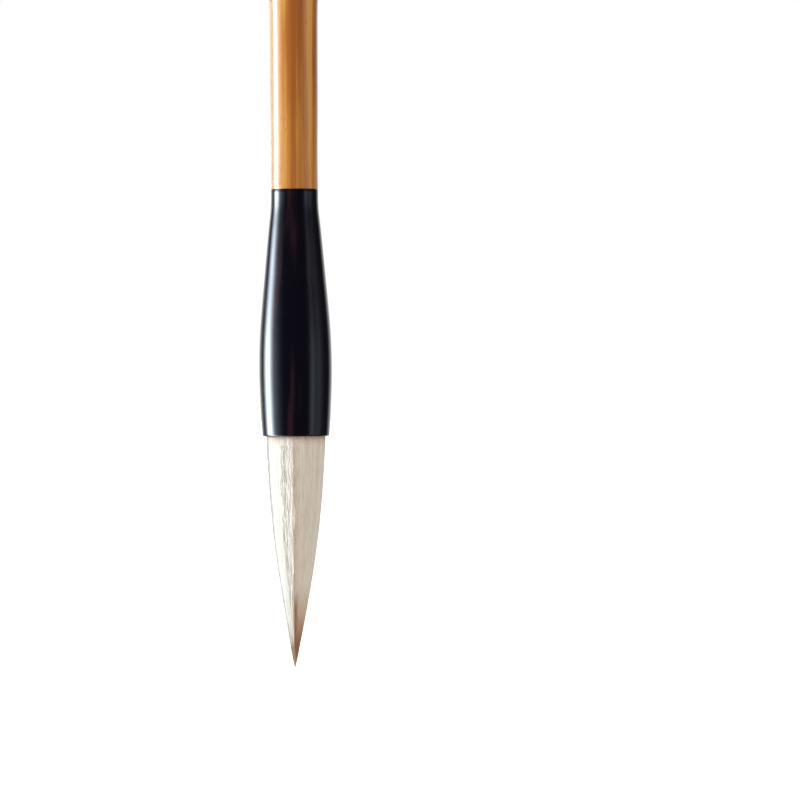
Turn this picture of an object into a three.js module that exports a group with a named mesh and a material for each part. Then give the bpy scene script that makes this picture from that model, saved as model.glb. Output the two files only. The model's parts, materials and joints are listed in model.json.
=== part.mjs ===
// A large Chinese calligraphy brush: bamboo shaft, bell-shaped horn ferrule, mixed goat hair
// over a stiff brown core, and a horn end cap bored for a hanging cord.
// Millimetres, +Z up. The brush hangs tip down. The origin is the middle of the end cap's flat
// end, and every height below is measured up from the tip of the hair.
import * as THREE from 'three';

// Driving dimensions
const LENGTH = 285; // tip of the hair to the flat end of the cap
const GAP = 0.3; // room between two pieces that meet
const FERRULE_FOOT = 51.7; // the ferrule's mouth, so also the length of hair that shows
const FERRULE_TOP = 107;
const CAP_FOOT = 265;
const HAIR_AT_MOUTH = 6.5; // radius

// Half-widths at heights above the tip, joined smoothly
const FERRULE_SHAPE = [
  [51.7, 7.5], [57, 7.82], [66.4, 8.13], [75.4, 7.88], [88.9, 6.72], [97.8, 5.88],
  [102.3, 5.4], [104.8, 5.28], [107, 5.28],
];
const HAIR_SHAPE = [
  [0, 0.12], [3.7, 0.8], [14.9, 2.76], [23.9, 4.21], [32.8, 5.3], [41.8, 6.01],
  [FERRULE_FOOT, HAIR_AT_MOUTH], [65.3, HAIR_AT_MOUTH],
];
const SHAFT_SHAPE = [
  [107, 5.27], [113.5, 5.21], [127, 5.32], [140, 5.35], [148, 5.42], [151.4, 5.62],
];
const CAP_BEAD = [[265, 5], [265.6, 5.35], [267.6, 5.35], [268.4, 4.9]];
const CAP_KNOB = [[270, 4.45], [274, 4.95], [279, 4.5], [283, 3.6], [LENGTH, 2.9]];

// Shaft
const NODE_SCAR = { height: 152.6, radius: 5.86 }; // thin ring where the sheath grew
const NODE_GROOVE = { height: 153.6, radius: 5.58 };
const NODE_SWELL = { height: 155.2, radius: 5.8 };
const NODE_FADE = 4; // how far above the swelling the shaft is straight again
const SHAFT_ABOVE_NODE = 5.38;
const SHAFT_END = 5.1;
const LUMEN_BELOW_NODE = 1.8;
const LUMEN_ABOVE_NODE = 2;
const DIAPHRAGM = [153, 154.4]; // the node's inner wall, from and to
const TENON_RADIUS = 3.7;
const TENON_LENGTH = 14;

// Ferrule
const CUP_RADIUS = HAIR_AT_MOUTH + GAP;
const CUP_WALL_TOP = 74.3; // where the cup's straight wall ends
const CUP_DEPTH_TOP = 77.8; // where its cone meets the web's hole
const WEB_HOLE = 1.5;
const SOCKET_FLOOR = FERRULE_TOP - TENON_LENGTH;
const LIP_ROUND = 0.35;

// End cap
const CAP_TENON_RADIUS = 2.7;
const CAP_TENON_LENGTH = 9;
const CORD_HOLE = 1;

// Hair roots
const ROOT_TOP = 72;
const ROOT_WAIST = 5.8; // under the binding thread
const THREAD_TURNS = 4;
const THREAD_PITCH = 0.6;
const THREAD_FEET = { lower: 66.1, upper: 69.1 };
const THREAD_VALLEY = 0.2; // how far the band stands out between turns
const THREAD_CREST = 0.4; // and on them
const WAIST_SLOPE = 1; // length over which the roots narrow to the waist
const RESIN_EDGE = 1.2; // above the roots' ends
const RESIN_CROWN = 1.3;
const BED_DEPTH = 0.7; // how far the glue bed reaches down the cup's wall
const BED_RECESS = 0.4; // below the web's hole
const CORE_SHARE = 0.42; // of the tuft's radius
const CORE_SHARE_AT_TIP = 0.62;
const CORE_TAPER = [14, 28]; // heights between which the share changes
const BELLY_SHARE = 0.7;

// Flexing tuft: sections that meet in ball-shaped faces, each about its own pivot
const SECTIONS = 8;
const FIRST_PIVOT = 47;
const LAST_PIVOT = 9.2;
const RIM_ANGLE = THREE.MathUtils.degToRad(60); // from the axis to the rim of each ball face
const BELLY_SECTIONS = 3; // the filler hair stops after these

// Fineness of the curves
const TURNED_SIDES = 32;
const HAIR_SIDES = 20;
const BELL_STEPS = 16;
const SIDE_STEPS = 8;
const ROOT_ARC_STEPS = 3;
const SOLVER_PASSES = 12;

/** A smooth radius through [height, radius] keys: cubic, with slopes taken from the neighbours. */
function smoothRadius(keys) {
  const slope = (i) => {
    const a = keys[Math.max(i - 1, 0)];
    const b = keys[Math.min(i + 1, keys.length - 1)];
    return (b[1] - a[1]) / (b[0] - a[0]);
  };
  return (height) => {
    let i = 0;
    while (i < keys.length - 2 && height > keys[i + 1][0]) i += 1;
    const [h0, r0] = keys[i];
    const [h1, r1] = keys[i + 1];
    const span = h1 - h0;
    const t = THREE.MathUtils.clamp((height - h0) / span, 0, 1);
    const rise = t * t * (3 - 2 * t);
    const start = t * (1 - t) * (1 - t) * span * slope(i);
    const end = t * t * (1 - t) * span * slope(i + 1);
    return r0 + (r1 - r0) * rise + start - end;
  };
}

/** Points [radius, height] of a radius function between two heights. */
function along(radius, from, to, steps) {
  return Array.from({ length: steps + 1 }, (_, i) => {
    const height = THREE.MathUtils.lerp(from, to, i / steps);
    return [radius(height), height];
  });
}

/** A solid of revolution. Its outline runs up the outside; a ring's outline closes on itself. */
function turned(outline, sides) {
  const points = outline.map(([r, h]) => new THREE.Vector2(r, h));
  if (outline[0][0] > 0) points.push(points[0].clone());
  return new THREE.LatheGeometry(points, sides).rotateX(Math.PI / 2);
}

const brush = new THREE.Group();
brush.position.z = -LENGTH;

const finishes = {
  bamboo: { color: '#b4743a', roughness: 0.25, metalness: 0 },
  horn: { color: '#0b0a12', roughness: 0.15, metalness: 0 },
  coatHair: { color: '#ece6da', roughness: 0.6, metalness: 0 },
  bellyHair: { color: '#d9ccb4', roughness: 0.7, metalness: 0 },
  coreHair: { color: '#7a5334', roughness: 0.6, metalness: 0 },
  thread: { color: '#d8cdb8', roughness: 0.8, metalness: 0 },
  resin: { color: '#6b3a1a', roughness: 0.3, metalness: 0 },
  adhesive: { color: '#c9b27a', roughness: 0.4, metalness: 0 },
};

/** Adds one named piece to the brush. */
function add(name, geometry, finish) {
  const mesh = new THREE.Mesh(geometry, new THREE.MeshStandardMaterial(finishes[finish]));
  mesh.name = name;
  brush.add(mesh);
}

/** The bamboo culm: one node above the grip, hollow on both sides of the node's inner wall. */
function shaft() {
  const foot = FERRULE_TOP + GAP;
  const top = CAP_FOOT - GAP;
  const counterbore = CAP_TENON_RADIUS + GAP;
  const counterboreFloor = CAP_FOOT - CAP_TENON_LENGTH - GAP;
  const tenonFoot = foot - TENON_LENGTH;
  const [wallFoot, wallTop] = DIAPHRAGM;
  return turned([
    [0, wallFoot], [LUMEN_BELOW_NODE, wallFoot], [LUMEN_BELOW_NODE, tenonFoot],
    [TENON_RADIUS, tenonFoot], [TENON_RADIUS, foot],
    ...along(smoothRadius(SHAFT_SHAPE), foot, SHAFT_SHAPE.at(-1)[0], SIDE_STEPS),
    ...[NODE_SCAR, NODE_GROOVE, NODE_SWELL].map(({ height, radius }) => [radius, height]),
    [SHAFT_ABOVE_NODE, NODE_SWELL.height + NODE_FADE], [SHAFT_END, top],
    [counterbore, top], [counterbore, counterboreFloor],
    [LUMEN_ABOVE_NODE, counterboreFloor], [LUMEN_ABOVE_NODE, wallTop], [0, wallTop],
  ], TURNED_SIDES);
}

/** The horn bell: a cup for the hair below, a socket for the shaft above, a bored web between. */
function ferrule() {
  const outside = smoothRadius(FERRULE_SHAPE);
  const socket = TENON_RADIUS + GAP;
  return turned([
    [CUP_RADIUS, FERRULE_FOOT], [outside(FERRULE_FOOT) - LIP_ROUND, FERRULE_FOOT],
    ...along(outside, FERRULE_FOOT + LIP_ROUND, FERRULE_TOP, BELL_STEPS),
    [socket, FERRULE_TOP], [socket, SOCKET_FLOOR], [WEB_HOLE, SOCKET_FLOOR],
    [WEB_HOLE, CUP_DEPTH_TOP], [CUP_RADIUS, CUP_WALL_TOP],
  ], TURNED_SIDES);
}

/** The horn end cap: tenon, bead, and a rounded knob with the cord's hole down its axis. */
function endCap() {
  return turned([
    [CORD_HOLE, CAP_FOOT - CAP_TENON_LENGTH], [CAP_TENON_RADIUS, CAP_FOOT - CAP_TENON_LENGTH],
    [CAP_TENON_RADIUS, CAP_FOOT], ...CAP_BEAD.map(([height, radius]) => [radius, height]),
    ...along(smoothRadius(CAP_KNOB), CAP_KNOB[0][0], LENGTH, SIDE_STEPS), [CORD_HOLE, LENGTH],
  ], TURNED_SIDES);
}

/** A band of binding thread: one closed ring whose outside shows each turn. */
function threadBand(foot) {
  const inner = ROOT_WAIST + GAP;
  const valley = inner + THREAD_VALLEY;
  const crest = inner + THREAD_CREST;
  const turns = Array.from({ length: THREAD_TURNS }, (_, i) => {
    const base = foot + i * THREAD_PITCH;
    return [[valley, base], [crest, base + THREAD_PITCH / 2]];
  }).flat();
  const top = foot + THREAD_TURNS * THREAD_PITCH;
  return turned([[inner, foot], ...turns, [valley, top], [inner, top]], HAIR_SIDES);
}

const hairRadius = smoothRadius(HAIR_SHAPE);

/** Radius of the brown core at a height: a larger share of the tuft towards the tip. */
function coreRadius(height) {
  const [low, high] = CORE_TAPER;
  const t = THREE.MathUtils.smoothstep(height, low, high);
  return hairRadius(height) * THREE.MathUtils.lerp(CORE_SHARE_AT_TIP, CORE_SHARE, t);
}

const bellyRadius = (height) => hairRadius(height) * BELLY_SHARE;

/** The ball face about pivot number k: its centre's height and its radius. */
function ballFace(k) {
  const centre = THREE.MathUtils.lerp(FIRST_PIVOT, LAST_PIVOT, (k - 1) / (SECTIONS - 1));
  let radius = 0;
  for (let pass = 0; pass < SOLVER_PASSES; pass += 1) {
    radius = hairRadius(centre - radius * Math.cos(RIM_ANGLE)) / Math.sin(RIM_ANGLE);
  }
  return { centre, radius };
}

/** Height at which a layer's surface meets a ball of the given centre and radius, from below. */
function meeting(layer, { centre, radius }) {
  let height = centre - radius;
  for (let pass = 0; pass < SOLVER_PASSES; pass += 1) {
    height = centre - Math.sqrt(Math.max(radius ** 2 - layer(height) ** 2, 0));
  }
  return height;
}

/** Points on a ball's underside between two of its heights. */
function ballArc({ centre, radius }, from, to, steps) {
  const angle = (height) => Math.acos(THREE.MathUtils.clamp((centre - height) / radius, -1, 1));
  return Array.from({ length: steps + 1 }, (_, i) => {
    const turn = THREE.MathUtils.lerp(angle(from), angle(to), i / steps);
    return [radius * Math.sin(turn), centre - radius * Math.cos(turn)];
  });
}

/** One layer of one section, between ball faces k (above, a cup) and k + 1 (below, a dome). */
function hairSection(k, outer, inner) {
  const cup = { ...ballFace(k), radius: ballFace(k).radius + GAP };
  const dome = ballFace(k + 1);
  const steps = inner ? 2 : 3;
  const foot = k === SECTIONS ? [] : ballArc(
    dome, inner ? meeting(inner, dome) : dome.centre - dome.radius, meeting(outer, dome), steps,
  );
  const rim = meeting(outer, cup);
  const low = k === SECTIONS ? 0 : meeting(outer, dome);
  const side = along(outer, low, rim, 2).slice(k === SECTIONS ? 0 : 1);
  const tip = k === SECTIONS ? [[0, 0]] : [];
  const head = ballArc(cup, rim, inner ? meeting(inner, cup) : cup.centre - cup.radius, steps);
  return turned([...tip, ...foot, ...side, ...head.slice(1)], HAIR_SIDES);
}

/** One layer of the roots, from the first ball face up into the ferrule's cup. */
function hairRoot(outer, inner) {
  const dome = ballFace(1);
  const waist = Math.min(outer(ROOT_TOP), ROOT_WAIST);
  const bound = THREAD_FEET.lower - GAP;
  const low = inner ? meeting(inner, dome) : dome.centre - dome.radius;
  const inside = inner ? [[inner(ROOT_TOP), ROOT_TOP]] : [[0, ROOT_TOP]];
  return turned([
    ...ballArc(dome, low, meeting(outer, dome), ROOT_ARC_STEPS),
    [outer(FERRULE_FOOT), FERRULE_FOOT], [outer(bound - WAIST_SLOPE), bound - WAIST_SLOPE],
    [waist, bound],
    [waist, ROOT_TOP], ...inside,
  ], HAIR_SIDES);
}

const clear = (layer) => (height) => layer(height) + GAP;

add('shaft', shaft(), 'bamboo');
add('ferrule', ferrule(), 'horn');
add('end_cap', endCap(), 'horn');
add('adhesive_bed', turned([
  [0, CUP_WALL_TOP - BED_DEPTH], [CUP_RADIUS - GAP, CUP_WALL_TOP - BED_DEPTH],
  [CUP_RADIUS - GAP, CUP_WALL_TOP - GAP], [WEB_HOLE, CUP_DEPTH_TOP - BED_RECESS],
  [0, CUP_DEPTH_TOP - BED_RECESS],
], HAIR_SIDES), 'adhesive');
add('root_resin', turned([
  [0, ROOT_TOP + GAP], [ROOT_WAIST, ROOT_TOP + GAP],
  [ROOT_WAIST, ROOT_TOP + RESIN_EDGE], [0, ROOT_TOP + RESIN_CROWN],
], HAIR_SIDES), 'resin');
add('root_thread_lower', threadBand(THREAD_FEET.lower), 'thread');
add('root_thread_upper', threadBand(THREAD_FEET.upper), 'thread');

add('hair_core_root', hairRoot(coreRadius, null), 'coreHair');
add('hair_belly_root', hairRoot(bellyRadius, clear(coreRadius)), 'bellyHair');
add('hair_coat_root', hairRoot(hairRadius, clear(bellyRadius)), 'coatHair');

for (let k = 1; k < SECTIONS; k += 1) {
  const filled = k <= BELLY_SECTIONS;
  add(`hair_core_${k}`, hairSection(k, coreRadius, null), 'coreHair');
  if (filled) add(`hair_belly_${k}`, hairSection(k, bellyRadius, clear(coreRadius)), 'bellyHair');
  add(`hair_coat_${k}`, hairSection(k, hairRadius, clear(filled ? bellyRadius : coreRadius)), 'coatHair');
}
add('hair_core_tip', hairSection(SECTIONS, hairRadius, null), 'coreHair');

export default brush;
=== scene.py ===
"""A large Chinese calligraphy brush, hung tip down in a white studio.

The shaft is lacquered bamboo, the ferrule and the end cap are polished black horn, and the tuft is
white goat hair over a stiff brown core. Lengths are in metres. Heights are measured up from the
tip of the hair, and angles round the shaft start at the front (-Y) and grow towards +X.
"""

import json
import logging
import math
from dataclasses import dataclass, field
from enum import Enum
from typing import Any, Callable

import bpy
import numpy as np
from bpy.types import Material, Mesh, Node, NodeSocket, NodeTree, Object
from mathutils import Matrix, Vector

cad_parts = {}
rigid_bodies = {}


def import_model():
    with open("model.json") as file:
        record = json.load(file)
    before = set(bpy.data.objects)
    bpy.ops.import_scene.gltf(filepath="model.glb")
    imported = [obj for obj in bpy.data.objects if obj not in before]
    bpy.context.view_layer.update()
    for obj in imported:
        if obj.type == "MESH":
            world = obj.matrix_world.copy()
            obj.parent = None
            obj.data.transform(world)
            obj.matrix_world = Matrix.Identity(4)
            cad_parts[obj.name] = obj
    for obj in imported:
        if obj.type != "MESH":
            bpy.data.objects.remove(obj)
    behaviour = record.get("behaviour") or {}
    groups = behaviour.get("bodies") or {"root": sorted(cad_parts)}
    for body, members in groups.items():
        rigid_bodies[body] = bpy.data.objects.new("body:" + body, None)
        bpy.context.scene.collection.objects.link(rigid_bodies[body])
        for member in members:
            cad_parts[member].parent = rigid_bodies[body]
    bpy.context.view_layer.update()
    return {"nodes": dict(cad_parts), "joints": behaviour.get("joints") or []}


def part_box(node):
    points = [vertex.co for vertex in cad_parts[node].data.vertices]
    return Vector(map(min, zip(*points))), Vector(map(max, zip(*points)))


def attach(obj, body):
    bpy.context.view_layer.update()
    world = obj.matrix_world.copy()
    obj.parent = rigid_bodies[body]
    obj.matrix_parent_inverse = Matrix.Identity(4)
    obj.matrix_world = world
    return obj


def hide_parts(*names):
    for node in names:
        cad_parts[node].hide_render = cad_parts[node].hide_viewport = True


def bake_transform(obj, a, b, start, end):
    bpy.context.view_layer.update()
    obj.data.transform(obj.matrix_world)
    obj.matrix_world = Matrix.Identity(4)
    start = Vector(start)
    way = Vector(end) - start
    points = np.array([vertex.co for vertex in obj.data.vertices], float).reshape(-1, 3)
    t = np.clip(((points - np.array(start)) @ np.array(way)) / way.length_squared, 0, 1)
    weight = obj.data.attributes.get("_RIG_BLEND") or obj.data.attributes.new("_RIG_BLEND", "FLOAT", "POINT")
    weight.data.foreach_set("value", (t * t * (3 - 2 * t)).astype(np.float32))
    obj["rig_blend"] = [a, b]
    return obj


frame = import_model()

log = logging.getLogger("brush")
MM = 0.001
TURN = 2 * math.pi
Span = tuple[float, float]
Keys = list[Span]
Colour = tuple[float, float, float]
Waves = tuple[tuple[float, float, float], ...]


# ---------------------------------------------------------------- places taken from the frame


@dataclass(frozen=True)
class Levels:
    """Places of the brush's landmarks along its axis, as the frame has them."""

    tip: float
    mouth: float
    ferrule_top: float
    cap_top: float
    pivots: tuple[float, ...]
    bodies: tuple[str, ...]

    @classmethod
    def from_frame(cls) -> "Levels":
        """Read the landmarks from the CAD nodes and the joints.

        Returns:
            The levels, with the tuft's pivots and bodies in order from the ferrule to the tip.
        """
        joints = sorted(frame["joints"], key=lambda j: -j["pos_m"][2])
        return cls(
            tip=float(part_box("hair_core_tip")[0][2]),
            mouth=float(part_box("ferrule")[0][2]),
            ferrule_top=float(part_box("ferrule")[1][2]),
            cap_top=float(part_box("end_cap")[1][2]),
            pivots=tuple(float(j["pos_m"][2]) for j in joints),
            bodies=(joints[0]["parent"], *(j["child"] for j in joints)),
        )

    def height(self, z: float) -> float:
        """Height above the tip of a place on the Z axis."""
        return z - self.tip


LEVELS = Levels.from_frame()


# ---------------------------------------------------------------- node trees


class Graph:
    """Short calls for building a node tree of either kind."""

    def __init__(self, tree: NodeTree) -> None:
        """Start from an empty tree."""
        self.tree = tree
        tree.nodes.clear()

    def feed(self, socket: NodeSocket, value: Any) -> None:
        """Link an output to an input, or set the input's own value."""
        if isinstance(value, NodeSocket):
            self.tree.links.new(value, socket)
        else:
            socket.default_value = value

    def node(self, kind: str, inputs: dict[str | int, Any] | None = None,
             **settings: Any) -> Node:
        """Add a node.

        Args:
            kind: Blender's name for the node type.
            inputs: values or output sockets by input name or number.
            settings: the node's own properties.

        Returns:
            The new node.
        """
        made = self.tree.nodes.new(kind)
        for name, value in settings.items():
            setattr(made, name, value)
        for key, value in (inputs or {}).items():
            self.feed(made.inputs[key], value)
        return made

    def math(self, operation: str, *values: Any, clamp: bool = False) -> NodeSocket:
        """The result of a Math node on numbers or outputs."""
        made = self.node("ShaderNodeMath", dict(enumerate(values)), operation=operation, use_clamp=clamp)
        return made.outputs[0]

    def add(self, a: Any, b: Any) -> NodeSocket:
        """a + b."""
        return self.math("ADD", a, b)

    def minus(self, a: Any, b: Any) -> NodeSocket:
        """a - b."""
        return self.math("SUBTRACT", a, b)

    def times(self, a: Any, b: Any) -> NodeSocket:
        """a * b."""
        return self.math("MULTIPLY", a, b)

    def over(self, a: Any, b: Any) -> NodeSocket:
        """a / b."""
        return self.math("DIVIDE", a, b)

    def vector(self, operation: str, *values: Any, out: int = 0) -> NodeSocket:
        """The result of a Vector Math node on vectors or outputs."""
        made = self.node("ShaderNodeVectorMath", operation=operation)
        for place, value in enumerate(values):
            self.feed(made.inputs[place], value)
        return made.outputs[out]

    def xyz(self, x: Any, y: Any, z: Any) -> NodeSocket:
        """A vector from three numbers or outputs."""
        return self.node("ShaderNodeCombineXYZ", {"X": x, "Y": y, "Z": z}).outputs[0]

    def span(self, value: Any, low: float, high: float, to_low: float = 0.0, to_high: float = 1.0,
             smooth: bool = True) -> NodeSocket:
        """A value mapped from one span to another and held inside it."""
        made = self.node("ShaderNodeMapRange", clamp=True,
                         interpolation_type="SMOOTHSTEP" if smooth else "LINEAR")
        for place, entry in enumerate((value, low, high, to_low, to_high)):
            self.feed(made.inputs[place], entry)
        return made.outputs[0]


class ShaderGraph(Graph):
    """A material's tree, with one Principled surface."""

    def __init__(self, name: str, **surface: Any) -> None:
        """Make the material.

        Args:
            name: the material's name.
            surface: plain values of the Principled node's sockets, with _ for a space.
        """
        self.material = bpy.data.materials.new(name)
        self.material.use_nodes = True
        super().__init__(self.material.node_tree)
        self.surface = self.node("ShaderNodeBsdfPrincipled")
        out = self.node("ShaderNodeOutputMaterial")
        self.feed(out.inputs["Surface"], self.surface.outputs[0])
        for key, value in surface.items():
            self.surface.inputs[key.replace("_", " ")].default_value = value

    def place(self, scale: tuple[float, float, float] = (1, 1, 1)) -> NodeSocket:
        """Object coordinates, scaled on each axis."""
        coordinates = self.node("ShaderNodeTexCoord").outputs["Object"]
        return self.node("ShaderNodeMapping", {"Vector": coordinates, "Scale": scale}).outputs[0]

    def attribute(self, name: str) -> Node:
        """A node that reads one of the piece's own attributes."""
        return self.node("ShaderNodeAttribute", attribute_name=name)

    def noise(self, vector: Any, scale: float, detail: float = 3.0,
              roughness: float = 0.5) -> NodeSocket:
        """A noise value between 0 and 1 at a vector."""
        made = self.node("ShaderNodeTexNoise", {"Vector": vector, "Scale": scale, "Detail": detail,
                                                "Roughness": roughness})
        return made.outputs[0]

    def mix(self, factor: Any, a: Any, b: Any, blend: str = "MIX") -> NodeSocket:
        """Two colours mixed by a factor."""
        made = self.node("ShaderNodeMix", data_type="RGBA", blend_type=blend)
        self.feed(made.inputs[0], factor)
        self.feed(made.inputs[6], (*a, 1.0) if isinstance(a, tuple) else a)
        self.feed(made.inputs[7], (*b, 1.0) if isinstance(b, tuple) else b)
        return made.outputs[2]

    def bump(self, height: Any, distance: float, strength: float = 1.0,
             under: Any = None) -> NodeSocket:
        """A normal bent by a height, in metres."""
        made = self.node("ShaderNodeBump", {"Height": height, "Distance": distance, "Strength": strength})
        if under is not None:
            self.feed(made.inputs["Normal"], under)
        return made.outputs[0]

    def use(self, **sockets: Any) -> Material:
        """Link outputs to the surface's sockets and give back the finished material."""
        for key, value in sockets.items():
            self.feed(self.surface.inputs[key.replace("_", " ")], value)
        return self.material


# ---------------------------------------------------------------- finishes


@dataclass(frozen=True)
class BambooFinish:
    """Lacquered bamboo: straight fibres, faint colour bands and flecks under a clear coat.

    dark_side is the angle of the darkest of the bands round the culm. The pale band down the left side
    is painted light, a painted sheen where the key light falls; its middle angle is the sheen's side,
    and it fades out over the sheen's width. The scar darkens the culm over scar_reach.
    """

    light: Colour = (0.68, 0.31, 0.052)
    dark: Colour = (0.35, 0.09, 0.007)
    fleck: Colour = (0.16, 0.05, 0.015)
    scar: Colour = (0.2, 0.075, 0.02)
    # painted sheen: the pale colour painted on the lit left side
    lit_sheen: Colour = (0.8, 0.6, 0.27)
    contrast: Span = (0.28, 0.95)
    fibre_share: float = 0.45
    cloud_share: float = 0.6
    band_share: float = 0.18
    vein_share: float = 0.9
    bands: int = 5
    dark_side: float = 0.12
    lit_sheen_side: float = -1.3
    lit_sheen_width: Span = (0.1, 0.5)
    lit_sheen_share: float = 0.45
    fibre_scale: float = 2600
    vein_scale: float = 900
    cloud_scale: float = 160
    fleck_scale: float = 2100
    fleck_edge: Span = (0.7, 0.78)
    fleck_share: float = 0.5
    scar_scale: float = 420
    scar_ragged: float = 1.6 * MM
    scar_reach: Span = (0.8 * MM, 3.4 * MM)
    scar_share: float = 0.8

    def material(self, scar_z: float) -> Material:
        """Build the material.

        Args:
            scar_z: the node's place on the Z axis, where the culm is darker.

        Returns:
            The bamboo material.
        """
        g = ShaderGraph("bamboo", Roughness=0.36, Specular_IOR_Level=0.42, Coat_Weight=0.65,
                        Coat_Roughness=0.07, Coat_IOR=1.5, IOR=1.45)
        fibre = g.noise(g.place((1, 1, 0.012)), self.fibre_scale, 4, 0.62)
        vein = g.noise(g.place((1, 1, 0.02)), self.vein_scale, 2, 0.5)
        cloud = g.noise(g.place((1, 1, 0.16)), self.cloud_scale, 3, 0.55)
        x, y, height = g.node("ShaderNodeSeparateXYZ", {0: g.place()}).outputs
        around = g.math("ARCTAN2", x, g.times(y, -1))
        band = g.math("COSINE", g.times(g.minus(around, self.dark_side), self.bands))
        tint = g.add(g.times(fibre, self.fibre_share), g.times(cloud, self.cloud_share))
        tint = g.minus(tint, g.times(band, self.band_share))
        tint = g.add(tint, g.times(g.minus(vein, 0.5), self.vein_share))
        colour = g.mix(g.span(tint, *self.contrast), self.dark, self.light)
        # Painted sheen: a pale band down the left side of the culm, where the key light falls.
        off_lit_sheen = g.math("ABSOLUTE", g.minus(around, self.lit_sheen_side))
        colour = g.mix(g.span(off_lit_sheen, *self.lit_sheen_width, self.lit_sheen_share, 0.0), colour, self.lit_sheen)
        speck = g.noise(g.place((1, 1, 0.4)), self.fleck_scale, 1, 0.4)
        colour = g.mix(g.span(speck, *self.fleck_edge, 0, self.fleck_share), colour, self.fleck)
        off = g.math("ABSOLUTE", g.minus(height, scar_z))
        ragged = g.add(off, g.times(g.noise(g.place(), self.scar_scale), self.scar_ragged))
        colour = g.mix(g.span(ragged, *self.scar_reach, self.scar_share, 0.0), colour, self.scar)
        return g.use(Base_Color=colour, Normal=g.bump(fibre, 0.03 * MM, 0.5),
                     Coat_Normal=g.bump(vein, 0.015 * MM, 0.35))


@dataclass(frozen=True)
class HornFinish:
    """Polished black horn: a blue-black body with faint red-brown streaks and fine scratches.

    polish is the roughness of its smoothest and dullest patches, and scratched what a scratch adds.
    """

    body: Colour = (0.0022, 0.0018, 0.005)
    streak: Colour = (0.03, 0.01, 0.014)
    streak_scale: float = 420
    scratch_scale: float = 2200
    wear_scale: float = 170
    pit_scale: float = 1900
    polish: Span = (0.1, 0.17)
    scratched: float = 0.12

    def material(self, name: str) -> Material:
        """Build the material under the given name."""
        g = ShaderGraph(name, IOR=1.5)
        streak = g.noise(g.place((1, 1, 0.05)), self.streak_scale, 2, 0.5)
        colour = g.mix(g.span(streak, 0.5, 0.78, 0, 0.75), self.body, self.streak)
        scratch = g.noise(g.place((1, 1, 0.09)), self.scratch_scale, 2, 0.7)
        wear = g.noise(g.place(), self.wear_scale, 4, 0.6)
        rough = g.add(g.span(wear, 0.35, 0.75, *self.polish),
                      g.span(scratch, 0.62, 0.8, 0.0, self.scratched))
        fine = g.bump(scratch, 0.004 * MM, 0.3)
        pits = g.noise(g.place((1, 1, 0.6)), self.pit_scale, 1, 0.3)
        return g.use(Base_Color=colour, Roughness=rough,
                     Normal=g.bump(g.span(pits, 0.2, 0.3), 0.01 * MM, 0.35, fine))


class HairKind(Enum):
    """The tuft's three layers of hair."""

    COAT = "coat"
    BELLY = "belly"
    CORE = "core"


@dataclass(frozen=True)
class HairFinish:
    """Straight hair: a tone for each strand, fine streaks, and the colours of a HairPattern.

    A strand's tone runs from deep to pale. The other colours are laid over it, shade last.
    """

    # white is painted light: the hair on the lit left side of the keel is made whiter with it.
    white: Colour = (0.92, 0.885, 0.83)
    shade: Colour = (0.3, 0.255, 0.21)
    pale: Colour = (0.89, 0.812, 0.685)
    deep: Colour = (0.68, 0.57, 0.42)
    rosy: Colour = (0.82, 0.68, 0.57)
    brown: Colour = (0.42, 0.165, 0.03)
    # gold is partly the amber tip's own colour and partly a painted highlight where the key light catches
    # brown hair beside the keel.
    gold_and_lit: Colour = (0.6, 0.42, 0.22)
    streak_scale: float = 1700
    streak_share: float = 1.3

    def material(self, kind: HairKind) -> Material:
        """Build one layer's material.

        Args:
            kind: the layer of hair.

        Returns:
            The hair material, which reads the piece's tone, brown, gold, rosy, white, shade
            and rest attributes; gold is partly a painted highlight, white painted light and shade painted
            shade.
        """
        g = ShaderGraph(f"{kind.value}_hair", Roughness=0.5, IOR=1.45, Sheen_Weight=0.12,
                        Sheen_Roughness=0.5)
        rest = g.attribute("rest").outputs["Vector"]
        drawn = g.node("ShaderNodeMapping", {"Vector": rest, "Scale": (1, 1, 0.03)}).outputs[0]
        streak = g.noise(drawn, self.streak_scale, 4, 0.65)
        tone = g.add(g.attribute("tone").outputs["Fac"], g.times(g.minus(streak, 0.5), self.streak_share))
        colour = g.mix(g.span(tone, 0.0, 1.0, smooth=False), self.deep, self.pale)
        for label in ("rosy", "white", "brown", "gold_and_lit", "shade"):
            colour = g.mix(g.attribute(label).outputs["Fac"], colour, getattr(self, label))
        return g.use(Base_Color=colour, Normal=g.bump(streak, 0.02 * MM, 0.3))


@dataclass(frozen=True)
class ThreadFinish:
    """Waxed cotton thread."""

    colour: Colour = (0.62, 0.53, 0.4)
    shade: Colour = (0.42, 0.33, 0.22)
    twist_scale: float = 2400

    def material(self) -> Material:
        """Build the material."""
        g = ShaderGraph("thread", Roughness=0.6, Sheen_Weight=0.2, Sheen_Roughness=0.4)
        twist = g.node("ShaderNodeTexWave", {"Vector": g.place((1, 1, 3)), "Scale": self.twist_scale,
                                             "Distortion": 2.0},
                       wave_type="BANDS", bands_direction="DIAGONAL").outputs["Fac"]
        colour = g.mix(g.times(twist, 0.8), self.colour, self.shade)
        return g.use(Base_Color=colour, Normal=g.bump(twist, 0.03 * MM, 0.6))


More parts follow.
